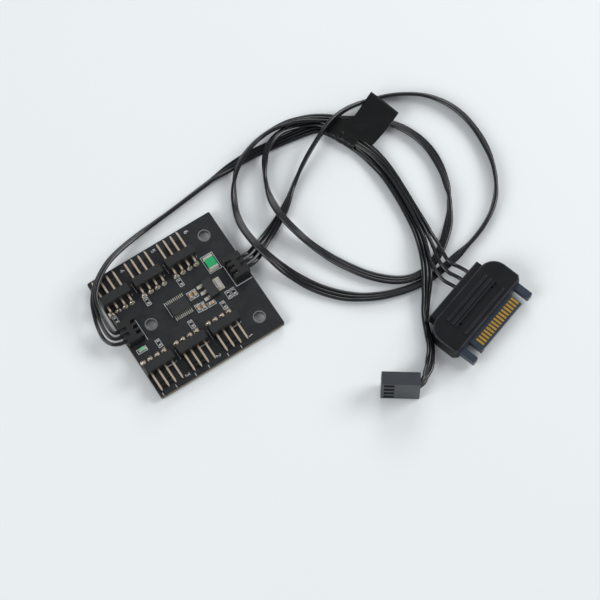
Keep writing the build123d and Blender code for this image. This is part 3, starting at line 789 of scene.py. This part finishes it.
def makeJoints():
    corners = []
    faces = []
    for number, end in solderJoint["squarePads"].items():
        low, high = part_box(f"fan_header_{number}_pins")
        centre = middle(f"fan_header_{number}_pins").x
        half = solderJoint["halfPin"] * mm
        row = (high.y - half if high.y < 0 else low.y + half) / mm
        for pad in solderJoint["pads"]:
            square = 1.0 if pad * end == max(solderJoint["pads"]) else 0.0
            addJoint(corners, faces, centre + pad, row, boardFaces["top"], 1, 1.0, square)
            addJoint(corners, faces, centre + pad, row, boardFaces["back"], -1, 1.0, square)
    for x, rows in solderJoint["legs"].values():
        for y in rows:
            addJoint(corners, faces, x, y, boardFaces["top"], 1, solderJoint["smallShare"], 0.0)
            addJoint(corners, faces, x, y, boardFaces["back"], -1, solderJoint["backShare"], 0.0)
    linkPiece("solderJoints", sealedMesh("solderJoints", corners, faces), solderLook, True)
    print("solder joints set")


tinPads = {
    "corner": 7.0,  # how square the corners are
    "sides": 28,
    "height": 0.12,
    "driverHeight": 0.05,
    "chipEnd": (0.78, 0.44, 0.78),  # distance from a small part's middle, size along and across it
    "lampEnd": (1.0, 0.62, 1.2),
    "fuseEnd": (2.12, 1.36, 3.46),
    "regulatorTab": (12.42, 0.0, 2.44, 4.6),
    "regulatorLegs": [(6.76, 2.36), (6.76, -0.04), (6.76, -2.32)],
    "regulatorLeg": (2.0, 1.22),
    "driverLead": (3.05, 0.27, 1.25),  # distance from the chip's middle, width and length
    "driverPitch": 0.65,
    "driverLeads": 10,
}


# A low pillow of tin with rounded corners
def addPad(corners, faces, x, y, across, along, height):
    first = len(corners)
    sides = tinPads["sides"]
    top = boardFaces["top"]
    power = 2 / tinPads["corner"]
    rings = [(1.0, -boardFaces["sunk"]), (1.0, height * 0.45), (0.93, height * 0.82), (0.78, height)]
    for share, rise in rings:
        for k in range(sides):
            angle = 2 * math.pi * k / sides
            c = math.cos(angle)
            s = math.sin(angle)
            px = math.copysign(abs(c) ** power, c) * across / 2 * share
            py = math.copysign(abs(s) ** power, s) * along / 2 * share
            corners.append((x + px, y + py, top + rise))
    bridgeRings(faces, first, len(rings), sides)
    capRings(faces, first, len(rings), sides)


def makePads():
    corners = []
    faces = []
    smallParts = [f"resistor_{i}" for i in range(1, 9)] + [f"capacitor_{i}" for i in range(1, 6)]
    ends = [(name, "chipEnd") for name in smallParts] + [("lamp_base", "lampEnd"), ("fuse_body", "fuseEnd")]
    for name, kind in ends:
        low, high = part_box(name)
        centre = middle(name)
        away, along, across = tinPads[kind]
        lengthways = name == "lamp_base" or (name != "fuse_body" and high.x - low.x > high.y - low.y)
        for way in (-1, 1):
            if lengthways:
                addPad(corners, faces, centre.x + way * away, centre.y, along, across, tinPads["height"])
            else:
                addPad(corners, faces, centre.x, centre.y + way * away, across, along, tinPads["height"])
    addPad(corners, faces, *tinPads["regulatorTab"], boardFaces["padHeight"])
    for x, y in tinPads["regulatorLegs"]:
        addPad(corners, faces, x, y, *tinPads["regulatorLeg"], boardFaces["padHeight"])
    driver = middle("driver_chip_body")
    away, width, length = tinPads["driverLead"]
    for i in range(tinPads["driverLeads"]):
        x = driver.x + (i - (tinPads["driverLeads"] - 1) / 2) * tinPads["driverPitch"]
        for way in (-1, 1):
            addPad(corners, faces, x, driver.y + way * away, width, length, tinPads["driverHeight"])
    linkPiece("tinPads", sealedMesh("tinPads", corners, faces), solderLook, True)
    print("pads tinned")


holeRims = {
    "places": [(17.4, 16.6), (17.4, -16.6), (-12.95, 0.0)],
    "bore": 1.8,
    "lining": 0.04,
    "width": 0.3,
    "lift": 0.035,
    "sides": 48,
}


# A plated lining through each screw hole, with a flat rim on both faces
def makeRims():
    corners = []
    faces = []
    top = boardFaces["top"]
    back = boardFaces["back"]
    lift = holeRims["lift"]
    inner = holeRims["bore"] - holeRims["lining"]
    outer = holeRims["bore"] + holeRims["width"]
    loop = [(inner, back - lift), (outer, back - lift), (outer, back), (holeRims["bore"], back),
            (holeRims["bore"], top), (outer, top), (outer, top + lift), (inner, top + lift)]
    for x, y in holeRims["places"]:
        first = len(corners)
        for radius, z in loop:
            for k in range(holeRims["sides"]):
                angle = 2 * math.pi * k / holeRims["sides"]
                corners.append((x + radius * math.cos(angle), y + radius * math.sin(angle), z))
        bridgeRings(faces, first, len(loop), holeRims["sides"], True)
    linkPiece("holeRims", sealedMesh("holeRims", corners, faces), rimLook, False)
    print("hole rims set")


boardInk = {
    "line": 0.17,
    "mitre": 0.45,  # limit on how far a sharp corner reaches out
    "within": 22.6,  # no side line is printed further than this from the board's middle
    "digitLine": 0.2,
    "colour": tone(0.62, 0.64, 0.66),
    "faded": tone(0.44, 0.46, 0.48),
    "partBox": (1.42, 2.72),  # across and along a small part
    "boxes": [(-21.6, -6.6, -18.3, -5.05), (12.1, 4.3, 16.4, 10.5)],  # lamp and fuse
    "lines": [[(16.9, 4.4), (16.9, -3.9), (22.7, -3.9)], [(-16.5, 3.9), (-16.5, -3.9)],
              [(-5.9, 3.8), (-5.9, -1.8)]],
    "digitHeight": 1.3,
    "digits": {1: (11.62, -20.39), 2: (-0.49, -20.56), 3: (-12.14, -20.63),
               4: (-11.27, 20.53), 5: (0.72, 20.99), 6: (13.14, 20.8)},
    "strokes": {  # each digit in a box one high
        1: [(0.08, 0.78), (0.32, 1.0), (0.32, 0.0)],
        2: [(0.0, 0.8), (0.14, 1.0), (0.44, 1.0), (0.58, 0.82), (0.55, 0.6), (0.0, 0.0), (0.6, 0.0)],
        3: [(0.0, 1.0), (0.58, 1.0), (0.28, 0.6), (0.5, 0.55), (0.6, 0.32), (0.46, 0.04), (0.2, 0.0),
            (0.0, 0.14)],
        4: [(0.46, 0.0), (0.46, 1.0), (0.0, 0.3), (0.64, 0.3)],
        5: [(0.56, 1.0), (0.06, 1.0), (0.02, 0.56), (0.36, 0.62), (0.58, 0.42), (0.56, 0.14), (0.36, 0.0),
            (0.0, 0.06)],
        6: [(0.5, 1.0), (0.18, 0.84), (0.02, 0.5), (0.02, 0.18), (0.2, 0.0), (0.46, 0.02), (0.58, 0.24),
            (0.48, 0.5), (0.24, 0.54), (0.04, 0.36)],
    },
    "bracket": (1.2, 4.9, 15.05),  # from and to along a header, and distance from the board's middle
    "sideLine": (5.25, 11.6, 15.0),
    "ticks": (-4.0, 0.95),
    "tickReach": (21.4, 22.55),
}


# A raised line of ink with mitred corners
def addStroke(corners, faces, points, width, closed=False):
    first = len(corners)
    count = len(points)
    points = [Vector(point) for point in points]
    levels = (boardFaces["top"] - boardFaces["sunk"], boardFaces["top"] + boardFaces["inkHeight"])
    for i, here in enumerate(points):
        came = here - points[i - 1] if i or closed else points[1] - here
        goes = points[(i + 1) % count] - here if closed or i + 1 < count else came
        came = came.normalized()
        turn = (came + goes.normalized()).normalized()
        across = Vector((-turn.y, turn.x)) * width / 2 / max(turn.dot(came), boardInk["mitre"])
        for way, level in ((1, 0), (1, 1), (-1, 1), (-1, 0)):
            place = here + across * way
            corners.append((place.x, place.y, levels[level]))
    bridgeRings(faces, first, count, 4, closed)
    if not closed:
        capRings(faces, first, count, 4)


def addBox(corners, faces, left, low, right, high):
    loop = [(left, low), (right, low), (right, high), (left, high)]
    addStroke(corners, faces, loop, boardInk["line"], True)


def inkFinish():
    made = Finish("board_ink", {"Specular IOR Level": 0.3})
    wear = made.grain(0.5, 4.0)
    made.feed(made.shader, {
        "Base Color": made.between(wear, boardInk["faded"], boardInk["colour"]),
        "Roughness": made.spread(wear, 0.5, 0.7),
        "Normal": made.relief(made.grain(0.12, 2.0), 0.006),
    })
    return made


def makeInk():
    corners = []
    faces = []
    across, along = boardInk["partBox"]
    for name in [f"resistor_{i}" for i in range(1, 9)] + [f"capacitor_{i}" for i in range(1, 6)]:
        low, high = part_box(name)
        centre = middle(name)
        wide, deep = (along, across) if high.x - low.x > high.y - low.y else (across, along)
        left = centre.x - wide / 2
        front = centre.y - deep / 2
        addBox(corners, faces, left, front, left + wide, front + deep)
    for box in boardInk["boxes"]:
        addBox(corners, faces, *box)
    for line in boardInk["lines"]:
        addStroke(corners, faces, line, boardInk["line"])
    near, far, level = boardInk["bracket"]
    side, sideNear, sideFar = boardInk["sideLine"]
    edgeNear, edgeFar = boardInk["tickReach"]
    for number in range(1, 7):
        centre = middle(f"fan_header_{number}_pins")
        row = math.copysign(1.0, centre.y)
        line = [(centre.x - row * near, row * level), (centre.x - row * far, row * level)]
        addStroke(corners, faces, line, boardInk["line"])
        for way in (-1, 1):
            if abs(centre.x + way * side) < boardInk["within"]:
                line = [(centre.x + way * side, row * sideNear), (centre.x + way * side, row * sideFar)]
                addStroke(corners, faces, line, boardInk["line"])
        for tick in boardInk["ticks"]:
            line = [(centre.x - row * tick, row * edgeNear), (centre.x - row * tick, row * edgeFar)]
            addStroke(corners, faces, line, boardInk["line"])
    for number, (x, y) in boardInk["digits"].items():
        size = boardInk["digitHeight"]
        line = [(x + (v - 0.5) * size, y - (u - 0.3) * size) for u, v in boardInk["strokes"][number]]
        addStroke(corners, faces, line, boardInk["digitLine"])
    linkPiece("boardInk", sealedMesh("boardInk", corners, faces), inkFinish(), False)
    print("board printed")


solderLook = platedMetal("solder", tone(0.95, 0.90, 0.80), tone(0.62, 0.55, 0.45),
                         0.27, (1.0, 1.0, 1.0), 0.012)
rimLook = platedMetal("hole_plating", tone(0.40, 0.39, 0.37), tone(0.16, 0.155, 0.15),
                      0.4, (1.0, 1.0, 1.0), 0.008)
makeJoints()
makePads()
makeRims()
makeInk()

# Table and light
stageSet = {
    "floorSize": 6000.0,
    "floorDrop": 0.02,
    "floor": tone(0.795, 0.825, 0.838),
    "floorShade": tone(0.770, 0.803, 0.818),
    "air": tone(0.95, 0.98, 1.0),
    "airStrength": 0.38,
    "lamps": [  # right, away, up, size, watts
        (760, 300, 640, 560, 5.2),
        (-620, -460, 640, 640, 4.6),
        (120, 900, 560, 560, 3.3),
    ],
}


def makeStage():
    half = stageSet["floorSize"] * mm / 2
    mesh = bpy.data.meshes.new("floor")
    sheet = [(-half, -half, 0), (half, -half, 0), (half, half, 0), (-half, half, 0)]
    mesh.from_pydata(sheet, [], [(0, 1, 2, 3)])
    look = Finish("floor_paper", {"Specular IOR Level": 0.2})
    cloud = look.grain(120.0, 2.0)
    look.feed(look.shader, {
        "Base Color": look.between(cloud, stageSet["floorShade"], stageSet["floor"]),
        "Roughness": look.spread(cloud, 0.7, 0.85),
    })
    mesh.materials.append(look.material)
    floor = bpy.data.objects.new("floor", mesh)
    floor.location.z = -stageSet["floorDrop"] * mm
    scene.collection.objects.link(floor)
    for number, (right, away, up, size, watts) in enumerate(stageSet["lamps"]):
        data = bpy.data.lights.new(f"lamp{number}", "AREA")
        data.shape = "DISK"
        data.size = size * mm
        data.energy = watts
        lamp = bpy.data.objects.new(f"lamp{number}", data)
        lamp.location = stagePoint(right, away, up)
        aim = stagePoint(0, 0, 0) - lamp.location
        lamp.rotation_euler = aim.to_track_quat("-Z", "Y").to_euler()
        scene.collection.objects.link(lamp)
    world = bpy.data.worlds.new("studio")
    world.use_nodes = True
    air = world.node_tree.nodes["Background"]
    air.inputs["Color"].default_value = stageSet["air"]
    air.inputs["Strength"].default_value = stageSet["airStrength"]
    scene.world = world
    scene.view_settings.view_transform = "Standard"


makeStage()
print("stage set")
